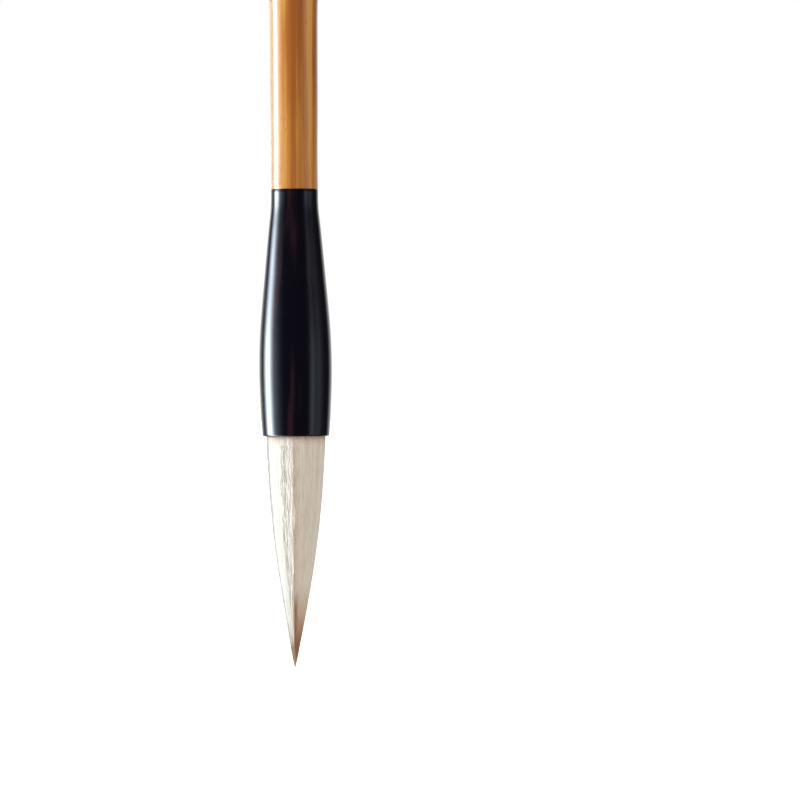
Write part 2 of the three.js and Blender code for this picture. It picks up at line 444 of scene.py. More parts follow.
@dataclass(frozen=True)
class GlueFinish:
    """A set glue or rosin: clouded, with small bubbles under a gloss."""

    name: str
    clear: Colour
    cloudy: Colour
    roughness: float
    cloud_scale: float = 500
    bubble_scale: float = 1400

    def material(self) -> Material:
        """Build the material."""
        g = ShaderGraph(self.name, Roughness=self.roughness, IOR=1.54, Coat_Weight=0.4,
                        Coat_Roughness=0.15)
        cloud = g.noise(g.place(), self.cloud_scale, 4, 0.6)
        bubble = g.node("ShaderNodeTexVoronoi", {"Vector": g.place(), "Scale": self.bubble_scale})
        colour = g.mix(g.span(cloud, 0.35, 0.7), self.clear, self.cloudy)
        dents = g.span(bubble.outputs["Distance"], 0.05, 0.3)
        return g.use(Base_Color=colour, Normal=g.bump(dents, 0.05 * MM, 0.5))


# ---------------------------------------------------------------- meshes


@dataclass
class Facets:
    """Points and faces as arrays, with the strand that each point belongs to."""

    points: np.ndarray
    corners: np.ndarray
    sizes: np.ndarray
    strand: np.ndarray

    @classmethod
    def of_mesh(cls, mesh: Mesh) -> "Facets":
        """Read a mesh.

        Args:
            mesh: the mesh, which may hold a "strand" attribute.

        Returns:
            Its points, faces and strand numbers, or -1 where it has none.
        """
        points = np.empty(len(mesh.vertices) * 3, np.float32)
        mesh.vertices.foreach_get("co", points)
        corners = np.empty(len(mesh.loops), np.int32)
        mesh.loops.foreach_get("vertex_index", corners)
        sizes = np.empty(len(mesh.polygons), np.int32)
        mesh.polygons.foreach_get("loop_total", sizes)
        strand = np.full(len(mesh.vertices), -1, np.float32)
        if "strand" in mesh.attributes:
            mesh.attributes["strand"].data.foreach_get("value", strand)
        return cls(points.reshape(-1, 3).astype(float), corners, sizes, strand)

    def plus(self, other: "Facets") -> "Facets":
        """Both sets of faces as one."""
        return Facets(
            np.concatenate([self.points, other.points]),
            np.concatenate([self.corners, other.corners + len(self.points)]).astype(np.int32),
            np.concatenate([self.sizes, other.sizes]).astype(np.int32),
            np.concatenate([self.strand, other.strand]),
        )

    def mesh(self, name: str) -> Mesh:
        """Write the faces into a new mesh."""
        made = bpy.data.meshes.new(name)
        made.vertices.add(len(self.points))
        made.vertices.foreach_set("co", self.points.astype(np.float32).ravel())
        made.loops.add(len(self.corners))
        made.loops.foreach_set("vertex_index", self.corners)
        made.polygons.add(len(self.sizes))
        starts = np.concatenate([[0], np.cumsum(self.sizes)[:-1]])
        made.polygons.foreach_set("loop_start", starts.astype(np.int32))
        made.update(calc_edges=True)
        made.validate()
        return made


def smooth_through(keys: Keys, at: np.ndarray) -> np.ndarray:
    """A smooth curve through keys, level past its ends.

    Args:
        keys: (place, value) pairs, in order.
        at: the places wanted.

    Returns:
        The values there, on cubics whose slopes come from the neighbouring keys.
    """
    x, y = np.array(keys, float).T
    i = np.clip(np.searchsorted(x, at) - 1, 0, len(x) - 2)
    own = np.arange(len(x))
    before, after = np.maximum(own - 1, 0), np.minimum(own + 1, len(x) - 1)
    slope = (y[after] - y[before]) / (x[after] - x[before])
    span = x[i + 1] - x[i]
    t = np.clip((at - x[i]) / span, 0, 1)
    bend = t * (1 - t) * span
    return y[i] + (y[i + 1] - y[i]) * t * t * (3 - 2 * t) + bend * ((1 - t) * slope[i] - t * slope[i + 1])


def smoothstep(low: Any, high: Any, at: Any) -> np.ndarray:
    """0 below low, 1 above high, and a smooth rise between them."""
    t = np.clip((at - low) / (high - low), 0, 1)
    return t * t * (3 - 2 * t)


def hump(middle: float, width: float, at: np.ndarray) -> np.ndarray:
    """1 at the middle, falling away to nothing about two widths from it."""
    return np.exp(-((at - middle) / width) ** 2)


def between(first: tuple[Any, Any], second: Span, at: np.ndarray) -> np.ndarray:
    """1 inside both of two smooth edges, each given as where it is 0 and where it is 1."""
    return smoothstep(*first, at) * smoothstep(*second, at)


def scatter(numbers: np.ndarray) -> np.ndarray:
    """A share between 0 and 1 for each whole number, the same each time and with no pattern."""
    return np.mod(np.sin(numbers * 12.9898 + 3.1) * 43758.5453, 1.0)


def half_turn(angle: np.ndarray) -> np.ndarray:
    """Angles brought to within half a turn of 0."""
    return np.mod(angle + math.pi, TURN) - math.pi


def rippled(start: float, waves: Waves, around: np.ndarray, height: np.ndarray) -> np.ndarray:
    """A value that waves round the axis.

    Args:
        start: the value without its waves.
        waves: (size, ripples in a turn, twist in radians a metre) of each wave.
        around: the angles wanted.
        height: the heights wanted.

    Returns:
        The value there.
    """
    total: Any = start
    for size, ripples, twist in waves:
        total = total + size * np.sin(ripples * around + height * twist)
    return total


def shell(outer: np.ndarray, inner: np.ndarray | None = None) -> Facets:
    """A closed solid from rows of rings.

    Args:
        outer: rings from the foot up, as rows of points, each ring anticlockwise from above.
        inner: the bore's rings in the same order, or None for a solid closed by flat ends.

    Returns:
        The faces, pointing out.
    """
    rows, sides = outer.shape[:2]
    column = np.arange(sides)
    following = (column + 1) % sides

    def band(low: np.ndarray, high: np.ndarray) -> np.ndarray:
        """The quads between two rings."""
        return np.stack([low[column], low[following], high[following], high[column]], axis=1)

    ring = np.arange(rows * sides).reshape(rows, sides)
    quads = [band(ring[r], ring[r + 1]) for r in range(rows - 1)]
    if inner is not None:
        bore = ring + rows * sides
        quads += [band(bore[r + 1], bore[r]) for r in range(rows - 1)]
        quads += [band(bore[0], ring[0]), band(ring[-1], bore[-1])]
        points = np.concatenate([outer.reshape(-1, 3), inner.reshape(-1, 3)])
        faces = np.concatenate(quads)
        return Facets(points, faces.ravel(), np.full(len(faces), 4), np.full(len(points), -1.0))
    points = np.concatenate([outer.reshape(-1, 3), outer[:1].mean(axis=1), outer[-1:].mean(axis=1)])
    foot, head = rows * sides, rows * sides + 1
    fans = [
        np.stack([ring[0][following], ring[0][column], np.full(sides, foot)], axis=1),
        np.stack([ring[-1][column], ring[-1][following], np.full(sides, head)], axis=1),
    ]
    faces, ends = np.concatenate(quads), np.concatenate(fans)
    return Facets(points, np.concatenate([faces.ravel(), ends.ravel()]),
                  np.concatenate([np.full(len(faces), 4), np.full(len(ends), 3)]),
                  np.full(len(points), -1.0))


def add_piece(name: str, mesh: Mesh, material: Material,
              sharp: float | None = 35) -> Object:
    """Put a finished mesh in the scene, at the origin.

    Args:
        name: the piece's name.
        mesh: its mesh, in place.
        material: its finish.
        sharp: the angle in degrees past which an edge stays sharp, or None for all smooth.

    Returns:
        The new object.
    """
    mesh.materials.clear()
    mesh.materials.append(material)
    mesh.shade_smooth()
    if sharp is not None:
        mesh.set_sharp_from_angle(angle=math.radians(sharp))
    piece = bpy.data.objects.new(name, mesh)
    bpy.context.scene.collection.objects.link(piece)
    log.info("%s: %d faces", name, len(mesh.polygons))
    return piece


# ---------------------------------------------------------------- geometry node trees


class NodeTool(Graph):
    """A Geometry Nodes tree with named inputs, run on a mesh and baked to a plain one."""

    def __init__(self, name: str, inputs: dict[str, tuple[str, Any]]) -> None:
        """Make the tree and its interface.

        Args:
            name: the tree's name.
            inputs: each input's socket type, without its prefix, and default value.
        """
        super().__init__(bpy.data.node_groups.new(name, "GeometryNodeTree"))
        side = self.tree.interface
        side.new_socket("Geometry", in_out="INPUT", socket_type="NodeSocketGeometry")
        self.sockets: dict[str, str] = {}
        for label, (kind, value) in inputs.items():
            socket = side.new_socket(label, in_out="INPUT", socket_type=f"NodeSocket{kind}")
            if value is not None:
                socket.default_value = value
            self.sockets[label] = socket.identifier
        side.new_socket("Geometry", in_out="OUTPUT", socket_type="NodeSocketGeometry")
        self.given = self.node("NodeGroupInput").outputs
        self.result = self.node("NodeGroupOutput")

    def finish(self, geometry: NodeSocket) -> None:
        """End the tree: realize instances, set the material, and send the result out."""
        real = self.node("GeometryNodeRealizeInstances", {"Geometry": geometry}).outputs[0]
        dressed = self.node("GeometryNodeSetMaterial",
                            {"Geometry": real, "Material": self.given["Material"]})
        self.feed(self.result.inputs[0], dressed.outputs[0])

    def run(self, base: Mesh, **values: Any) -> Mesh:
        """Run the tree on a mesh.

        Args:
            base: the mesh that the tree starts from.
            values: the inputs, by label with _ for a space.

        Returns:
            A plain mesh of the result.
        """
        host = bpy.data.objects.new(f"{self.tree.name}_host", base)
        bpy.context.scene.collection.objects.link(host)
        modifier = host.modifiers.new(self.tree.name, "NODES")
        modifier.node_group = self.tree
        for key, value in values.items():
            modifier[self.sockets[key.replace("_", " ")]] = value
        bpy.context.view_layer.update()
        mesh = bpy.data.meshes.new_from_object(host.evaluated_get(bpy.context.evaluated_depsgraph_get()))
        host.modifiers.clear()
        bpy.data.objects.remove(host)
        return mesh


class TurningTool(NodeTool):
    """Turns an outline round the Z axis, as a lathe does."""

    def __init__(self) -> None:
        """Build the tree: a grid whose rows are the outline's points, wrapped round the axis."""
        super().__init__("turning", {"Sides": ("Int", 96), "Weld": ("Float", 1e-6),
                                     "Material": ("Material", None)})
        outline, sides = self.given["Geometry"], self.given["Sides"]
        count = self.node("GeometryNodeAttributeDomainSize", {"Geometry": outline}).outputs["Point Count"]
        columns = self.add(sides, 1)
        grid = self.node("GeometryNodeMeshGrid", {"Size X": 1.0, "Size Y": 1.0, "Vertices X": columns,
                                                  "Vertices Y": count}).outputs[0]
        index = self.node("GeometryNodeInputIndex").outputs[0]
        row = self.math("MODULO", index, count)
        column = self.math("FLOOR", self.over(self.add(index, 0.5), count))
        place = self.node("GeometryNodeInputPosition").outputs[0]
        sample = self.node("GeometryNodeSampleIndex", data_type="FLOAT_VECTOR", domain="POINT")
        self.feed(sample.inputs["Geometry"], outline)
        self.feed(sample.inputs["Value"], place)
        self.feed(sample.inputs["Index"], row)
        point = self.node("ShaderNodeSeparateXYZ", {0: sample.outputs[0]}).outputs
        angle = self.over(self.times(column, TURN), sides)
        x = self.times(point[0], self.math("SINE", angle))
        y = self.times(point[0], self.times(self.math("COSINE", angle), -1))
        turned = self.node("GeometryNodeSetPosition",
                           {"Geometry": grid, "Position": self.xyz(x, y, point[2])})
        welded = self.node("GeometryNodeMergeByDistance", {"Geometry": turned.outputs[0],
                                                           "Distance": self.given["Weld"]})
        self.finish(welded.outputs[0])

    def turn(self, name: str, outline: Keys, sides: int, material: Material) -> Mesh:
        """Turn an outline.

        Args:
            name: the mesh's name.
            outline: (radius, z) points up the outside; it closes on itself unless it starts on the axis.
            sides: the number of sides round the axis.
            material: the finish.

        Returns:
            The closed mesh.
        """
        points = [(r, 0.0, z) for r, z in outline]
        if outline[0][0] > 0:
            points.append(points[0])
        base = bpy.data.meshes.new(name)
        base.from_pydata(points, [(i, i + 1) for i in range(len(points) - 1)], [])
        mesh = self.run(base, Sides=sides, Material=material)
        mesh.name = name
        facets = Facets.of_mesh(mesh)
        starts = np.concatenate([[0], np.cumsum(facets.sizes)[:-1]])
        a, b, c = (facets.points[facets.corners[starts + k]] for k in range(3))
        if np.einsum("ij,ij->", a, np.cross(b, c)) < 0:
            mesh.flip_normals()
        return mesh


class StrandTool(NodeTool):
    """Lays strands down a tuft's surface, each a thin tube that keeps its place round the axis.

    A strand sways in a long wave and a ripple, (length, size) as shares of that wave. It thins with
    the tuft, and over its last POINT to a point.
    """

    GOLDEN = 0.6180339887
    REACH = 50 * MM
    SHORTEST = 0.3 * MM
    RIPPLE = (0.43, 0.45)
    LIFT_WAVE = (0.6, 0.3)
    GIRTH = (0.75, 0.5)
    SLIMMEST = 0.06
    TAPER = 0.6
    POINT = 8 * MM
    POINT_GIRTH = 0.02

    def __init__(self) -> None:
        """Build the tree: curves that follow the surface by ray, thickened to tubes."""
        super().__init__("strands", {
            "Strands": ("Int", 400), "Steps": ("Int", 5), "Top": ("Float", 0.0), "Foot": ("Float", 0.0),
            "Thickness": ("Float", 0.0001), "Sector": ("Float", 0.0), "Sector width": ("Float", math.pi),
            "End low": ("Float", 0.0), "End high": ("Float", 0.0), "Wander": ("Float", 0.02),
            "Wave": ("Float", 0.02), "Lift": ("Float", 0.0001), "Mouth radius": ("Float", 0.0065),
            "Seed": ("Int", 1), "Material": ("Material", None),
        })
        given = self.given
        line = self.node("GeometryNodeCurvePrimitiveLine", {"End": (0, 0, 1)}).outputs[0]
        fine = self.node("GeometryNodeResampleCurve",
                         {"Curve": line, "Count": self.add(given["Steps"], 1)})
        copies = self.node("GeometryNodeDuplicateElements", {"Geometry": fine.outputs[0],
                                                             "Amount": given["Strands"]}, domain="SPLINE")
        kept = self.node("GeometryNodeStoreNamedAttribute", {
            "Geometry": copies.outputs[0], "Name": "strand", "Value": copies.outputs[1],
        }, data_type="FLOAT", domain="POINT")
        strand = self.node("GeometryNodeInputNamedAttribute", {"Name": "strand"},
                           data_type="FLOAT").outputs[0]

        def chance(step: int) -> NodeSocket:
            """A random number for each strand, another for each step of the seed."""
            return self.node("FunctionNodeRandomValue", {
                "ID": strand, "Seed": self.add(given["Seed"], step)}, data_type="FLOAT").outputs[1]

        drop = self.minus(given["End high"], given["End low"])
        end = self.add(given["End low"], self.times(drop, chance(1)))
        done = self.math("GREATER_THAN", end, self.minus(given["Top"], self.SHORTEST))
        alive = self.node("GeometryNodeDeleteGeometry", {"Geometry": kept.outputs[0], "Selection": done},
                          domain="CURVE").outputs[0]
        along = self.node("GeometryNodeSplineParameter").outputs["Factor"]
        foot = self.math("MAXIMUM", given["Foot"], end)
        fall = self.times(self.minus(foot, given["Top"]), along)
        z = self.add(given["Top"], fall)

        def wave(length: float, step: int) -> NodeSocket:
            """A sine down each strand, with a start of its own."""
            turn = self.over(self.times(z, TURN), self.times(given["Wave"], length))
            return self.math("SINE", self.add(turn, self.times(chance(step), TURN)))

        share = self.math("FRACT", self.times(self.add(strand, 0.5), self.GOLDEN))
        side = self.times(given["Sector width"], self.minus(self.times(share, 2), 1))
        sway = self.add(wave(1.0, 2), self.times(wave(self.RIPPLE[0], 3), self.RIPPLE[1]))
        angle = self.add(self.add(given["Sector"], side), self.times(sway, given["Wander"]))
        out = self.xyz(self.math("SINE", angle), self.times(self.math("COSINE", angle), -1), 0.0)
        ray = self.node("GeometryNodeRaycast", {"Target Geometry": given["Geometry"],
                                                "Source Position": self.xyz(0.0, 0.0, z),
                                                "Ray Direction": out, "Ray Length": self.REACH})
        hit = ray.outputs["Hit Position"]
        lift = self.add(chance(4), self.times(wave(self.LIFT_WAVE[0], 5), self.LIFT_WAVE[1]))
        lift = self.times(given["Lift"], lift)
        flat = self.vector("MULTIPLY", hit, (1, 1, 0))
        reach = self.over(self.vector("LENGTH", flat, out=1), given["Mouth radius"])
        slim = self.math("POWER", self.math("MAXIMUM", reach, self.SLIMMEST), self.TAPER)
        point = self.span(z, end, self.add(end, self.POINT), self.POINT_GIRTH, 1.0, smooth=False)
        point = self.math("POWER", point, self.TAPER)
        girth = self.add(self.GIRTH[0], self.times(chance(6), self.GIRTH[1]))
        radius = self.times(self.times(given["Thickness"], girth), self.times(slim, point))
        thick = self.node("GeometryNodeSetCurveRadius", {"Curve": alive, "Radius": radius}).outputs[0]
        raised = self.node("ShaderNodeVectorMath", {0: out, "Scale": lift}, operation="SCALE").outputs[0]
        laid = self.node("GeometryNodeSetPosition",
                         {"Geometry": thick, "Position": self.vector("ADD", hit, raised)})
        ring = self.node("GeometryNodeCurvePrimitiveCircle", {"Resolution": 4, "Radius": 1.0}).outputs[0]
        tube = self.node("GeometryNodeCurveToMesh", {
            "Curve": laid.outputs[0], "Profile Curve": ring,
            "Scale": self.node("GeometryNodeInputRadius").outputs[0], "Fill Caps": True})
        self.finish(tube.outputs[0])


class WindingTool(NodeTool):
    """Winds a thread round the Z axis as one helix."""

    STEPS = 64
    SIDES = 10

    def __init__(self) -> None:
        """Build the tree: a spiral thickened to a tube, moved to its foot."""
        super().__init__("winding", {
            "Turns": ("Float", 4.0), "Radius": ("Float", 0.006), "Pitch": ("Float", 0.0006),
            "Thickness": ("Float", 0.0003), "Foot": ("Float", 0.0), "Material": ("Material", None),
        })
        given = self.given
        rise = self.times(given["Turns"], given["Pitch"])
        spiral = self.node("GeometryNodeCurveSpiral", {
            "Resolution": self.STEPS, "Rotations": given["Turns"], "Start Radius": given["Radius"],
            "End Radius": given["Radius"], "Height": rise}).outputs[0]
        moved = self.node("GeometryNodeTransform", {"Geometry": spiral,
                                                    "Translation": self.xyz(0.0, 0.0, given["Foot"])})
        ring = self.node("GeometryNodeCurvePrimitiveCircle",
                         {"Resolution": self.SIDES, "Radius": given["Thickness"]})
        tube = self.node("GeometryNodeCurveToMesh", {
            "Curve": moved.outputs[0], "Profile Curve": ring.outputs[0], "Fill Caps": True})
        self.finish(tube.outputs[0])


# ---------------------------------------------------------------- the handle


@dataclass
class Shaft:
    """The bamboo culm, with its node, tenon, counterbore and two lumens.

    grip and above are (height, radius) below and above the node, and ridge the same from the scar.
    The groove is its angle, width and depth, and deepens over groove_rise. Outside the radii of
    skin the culm is uneven.
    """

    turning: TurningTool
    finish: BambooFinish = field(default_factory=BambooFinish)
    sides: int = 128
    grip_rows: int = 60
    above_rows: int = 110
    tenon_radius: float = 3.7 * MM
    tenon_length: float = 14 * MM
    chamfer: float = 0.14 * MM
    eased: Span = (0.3, 0.35)
    seat: float = 0.02 * MM
    lumen_below: float = 1.8 * MM
    lumen_above: float = 2.0 * MM
    wall: Span = (153 * MM, 154.4 * MM)
    counterbore: Span = (3.0 * MM, 9.0 * MM)
    grip: Keys = field(default_factory=lambda: [
        (107 * MM, 5.27 * MM), (113.5 * MM, 5.21 * MM), (127 * MM, 5.32 * MM), (140 * MM, 5.35 * MM),
        (148 * MM, 5.42 * MM), (151.4 * MM, 5.62 * MM)])
    scar: float = 152.6 * MM
    ridge: tuple[Span, ...] = ((-0.35 * MM, 5.82 * MM), (0.0, 5.92 * MM), (0.3 * MM, 5.8 * MM))
    waves: Waves = ((0.014 * MM, 3, 60), (0.008 * MM, 7, -35))
    groove: tuple[float, float, float] = (2.2, 0.5, 0.1 * MM)
    groove_rise: Span = (150 * MM, 175 * MM)
    skin: Span = (4.6 * MM, 5.0 * MM)
    cap_foot: float = 265 * MM
    above: Keys = field(default_factory=lambda: [
        (153.7 * MM, 5.56 * MM), (155.2 * MM, 5.8 * MM), (157 * MM, 5.6 * MM), (160 * MM, 5.4 * MM),
        (180 * MM, 5.36 * MM), (265 * MM, 5.1 * MM)])

    def outline(self) -> Keys:
        """The culm's section, from the lower lumen's end round the outside to the upper one's."""
        foot, top = LEVELS.height(LEVELS.ferrule_top) + self.seat, self.cap_foot - self.seat
        bore, depth = self.counterbore
        bottom = foot - self.tenon_length
        grip = np.linspace(foot + self.chamfer, self.grip[-1][0], self.grip_rows)
        above = np.linspace(self.above[0][0], top - self.chamfer, self.above_rows)
        start = float(smooth_through(self.grip, grip[:1])[0])
        end = float(smooth_through(self.above, above[-1:])[0])
        return [
            (0.0, self.wall[0]), (self.lumen_below, self.wall[0]), (self.lumen_below, bottom),
            (self.tenon_radius, bottom), (self.tenon_radius, foot), (start - self.chamfer, foot),
            (start - self.eased[0] * self.chamfer, foot + self.eased[1] * self.chamfer),
            *zip(smooth_through(self.grip, grip), grip),
            *((radius, self.scar + off) for off, radius in self.ridge),
            *zip(smooth_through(self.above, above), above),
            (end - self.chamfer, top), (bore, top), (bore, top - depth),
            (self.lumen_above, top - depth), (self.lumen_above, self.wall[1]), (0.0, self.wall[1]),
        ]

    def build(self) -> Object:
        """Turn the culm, give it its slight unevenness, and stand it on the handle.

        Returns:
            The shaft.
        """
        outline = [(r, h + LEVELS.tip) for r, h in self.outline()]
        finish = self.finish.material(self.scar + LEVELS.tip)
        mesh = self.turning.turn("bamboo_shaft", outline, self.sides, finish)
        facets = Facets.of_mesh(mesh)
        points = facets.points
        around = np.arctan2(points[:, 0], -points[:, 1])
        height = points[:, 2] - LEVELS.tip
        radius = np.hypot(points[:, 0], points[:, 1])
        angle, width, depth = self.groove
        groove = depth * hump(angle, width, around) * smoothstep(*self.groove_rise, height)
        uneven = rippled(0.0, self.waves, around, height) - groove
        share = smoothstep(*self.skin, radius) * uneven / np.maximum(radius, MM)
        points[:, :2] *= (1 + share)[:, None]
        mesh.vertices.foreach_set("co", points.astype(np.float32).ravel())
        piece = add_piece("bamboo_shaft", mesh, finish, sharp=30)
        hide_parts("shaft")
        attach(piece, "handle")
        return piece


@dataclass
class Ferrule:
    """The horn bell: hair cup, bored web and tenon socket.

    shape is (height, radius) up its side. The lip is rounded, and the top edge eased by top_ease.
    """

    turning: TurningTool
    finish: HornFinish = field(default_factory=HornFinish)
    sides: int = 160
    rows: int = 96
    mouth_bore: float = 6.64 * MM
    cup_top: float = 74.3 * MM
    cone_top: float = 77.8 * MM
    web_hole: float = 1.5 * MM
    socket_radius: float = 4.0 * MM
    socket_depth: float = 14 * MM
    lip: float = 0.42 * MM
    lip_steps: int = 7
    mouth_chamfer: float = 0.15 * MM
    top_ease: float = 0.2 * MM
    top_bow: float = 0.06 * MM
    shape: Keys = field(default_factory=lambda: [
        (51.7 * MM, 7.5 * MM), (57 * MM, 7.82 * MM), (66.4 * MM, 8.13 * MM), (75.4 * MM, 7.88 * MM),
        (88.9 * MM, 6.72 * MM), (97.8 * MM, 5.88 * MM), (102.3 * MM, 5.4 * MM), (104.8 * MM, 5.28 * MM),
        (107 * MM, 5.28 * MM)])

    def outline(self) -> Keys:
        """The bell's section, with a rounded lip and an eased top edge."""
        foot, top = LEVELS.height(LEVELS.mouth), LEVELS.height(LEVELS.ferrule_top)
        side = np.linspace(foot + self.lip, top - self.top_ease, self.rows)
        start = float(smooth_through(self.shape, side[:1])[0])
        bend = np.linspace(0, math.pi / 2, self.lip_steps)[:-1]
        lip = [(start - self.lip * (1 - math.sin(a)), foot + self.lip * (1 - math.cos(a)))
               for a in bend]
        end = float(smooth_through(self.shape, side[-1:])[0])
        return [
            (self.mouth_bore, foot + self.mouth_chamfer), (self.mouth_bore + self.mouth_chamfer, foot),
            *lip, *zip(smooth_through(self.shape, side), side),
            (end - self.top_bow, top - self.top_bow), (end - self.top_ease, top),
            (self.socket_radius, top), (self.socket_radius, top - self.socket_depth),
            (self.web_hole, top - self.socket_depth), (self.web_hole, self.cone_top),
            (self.mouth_bore, self.cup_top),
        ]

    def build(self) -> Object:
        """Turn the bell and fix it to the handle."""
        outline = [(r, h + LEVELS.tip) for r, h in self.outline()]
        finish = self.finish.material("horn")
        mesh = self.turning.turn("horn_ferrule", outline, self.sides, finish)
        piece = add_piece("horn_ferrule", mesh, finish, sharp=40)
        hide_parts("ferrule")
        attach(piece, "handle")
        return piece


@dataclass
class EndCap:
    """The horn cap at the shaft's top end, bored for the hanging cord.

    bead_middle is a radius and a height above the foot, and bead_size how far it goes out and up,
    all in millimetres. neck is (radius, height above the foot). rim is (distance in from the flat's
    edge, depth), and countersink (distance out from the hole, depth).
    """

    turning: TurningTool
    finish: HornFinish = field(default_factory=HornFinish)
    sides: int = 128
    rows: int = 40
    tenon: Span = (2.7 * MM, 9 * MM)
    shoulder: float = 4.6 * MM
    bead_middle: Span = (4.72, 1.55)
    bead_size: Span = (0.66, 1.4)
    bead_steps: int = 15
    neck: tuple[Span, ...] = ((4.5 * MM, 3.4 * MM), (4.36 * MM, 4.1 * MM), (4.38 * MM, 4.6 * MM))
    rim: tuple[Span, ...] = ((0.06 * MM, 0.05 * MM), (0.2 * MM, 0.0))
    countersink: tuple[Span, ...] = ((0.35 * MM, 0.0), (0.1 * MM, 0.12 * MM), (0.0, 0.35 * MM))
    cord_hole: float = 1.0 * MM
    flat: float = 2.9 * MM
    flat_ease: float = 0.25 * MM
    foot: float = 265 * MM
    knob: Keys = field(default_factory=lambda: [
        (270 * MM, 4.45 * MM), (274 * MM, 4.95 * MM), (279 * MM, 4.5 * MM), (283 * MM, 3.6 * MM),
        (285 * MM, 2.9 * MM)])

    def outline(self) -> Keys:
        """The cap's section: tenon, bead, neck, knob and a countersunk cord hole."""
        radius, length = self.tenon
        top = LEVELS.height(LEVELS.cap_top)
        (across, up), (wide, tall) = self.bead_middle, self.bead_size
        bead = [((across + wide * math.cos(a)) * MM, self.foot + (up + tall * math.sin(a)) * MM)
                for a in np.linspace(-math.pi / 2, math.pi / 2, self.bead_steps)]
        side = np.linspace(self.knob[0][0], top - self.flat_ease, self.rows)
        return [
            (self.cord_hole, self.foot - length), (radius, self.foot - length), (radius, self.foot),
            (self.shoulder, self.foot), *bead, *((r, self.foot + h) for r, h in self.neck),
            *zip(smooth_through(self.knob, side), side),
            *((self.flat - inward, top - down) for inward, down in self.rim),
            *((self.cord_hole + out, top - down) for out, down in self.countersink),
        ]

    def build(self) -> Object:
        """Turn the cap and fix it to the handle."""
        outline = [(r, h + LEVELS.tip) for r, h in self.outline()]
        finish = self.finish.material("cap_horn")
        mesh = self.turning.turn("horn_end_cap", outline, self.sides, finish)
        piece = add_piece("horn_end_cap", mesh, finish, sharp=40)
        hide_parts("end_cap")
        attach(piece, "handle")
        return piece


@dataclass
class RootFastening:
    """What holds the hair in the ferrule: two thread bindings, sealing rosin and the glue bed."""

    winding: WindingTool
    thread: ThreadFinish = field(default_factory=ThreadFinish)
    rosin: GlueFinish = GlueFinish("rosin", (0.3, 0.12, 0.03), (0.16, 0.06, 0.02), 0.22)
    glue: GlueFinish = GlueFinish("glue", (0.62, 0.46, 0.22), (0.74, 0.62, 0.4), 0.35)
    thickness: float = 0.2 * MM
    turns: float = 5.0

    def build(self) -> list[Object]:
        """Wind both threads and dress the two glues.

        Returns:
            The two windings.
        """
        finish = self.thread.material()
        made = []
        for node in ("root_thread_lower", "root_thread_upper"):
            low, high = (float(corner[2]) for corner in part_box(node))
            outer = float(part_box(node)[1][0])
            mesh = self.winding.run(
                bpy.data.meshes.new(node), Turns=self.turns, Radius=outer - self.thickness,
                Pitch=(high - low - 2 * self.thickness) / self.turns, Thickness=self.thickness,
                Foot=low + self.thickness, Material=finish)
            piece = add_piece(f"{node}_winding", mesh, finish, sharp=None)
            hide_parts(node)
            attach(piece, "handle")
            made.append(piece)
        for node, glue in (("root_resin", self.rosin), ("adhesive_bed", self.glue)):
            solid = frame["nodes"][node]
            for slot in solid.material_slots:
                slot.material = glue.material()
            log.info("%s: dressed", node)
        return made


# ---------------------------------------------------------------- the tuft


class RoundNoise:
    """Noise round the axis that changes slowly along it."""

    ROWS = 64

    def __init__(self, seed: int, count: int, length: float) -> None:
        """Draw the noise.

        Args:
            seed: fixes the draw.
            count: bumps round the axis.
            length: how far along the axis until the bumps are others.
        """
        self.rows = np.random.default_rng(seed).uniform(-1, 1, (self.ROWS, count))
        self.count, self.length = count, length

    def at(self, around: np.ndarray, height: np.ndarray) -> np.ndarray:
        """The noise, between -1 and 1, at angles and heights."""
        x = np.mod(around / TURN, 1.0) * self.count
        y = np.mod(height / self.length, 1.0e3)
        i, j = np.floor(x).astype(int), np.floor(y).astype(int)
        u, v = smoothstep(0, 1, x - i), smoothstep(0, 1, y - j)
        i, after = i % self.count, (i + 1) % self.count
        low, high = (self.rows[r % self.ROWS, i] * (1 - u) + self.rows[r % self.ROWS, after] * u
                     for r in (j, j + 1))
        return low * (1 - v) + high * v


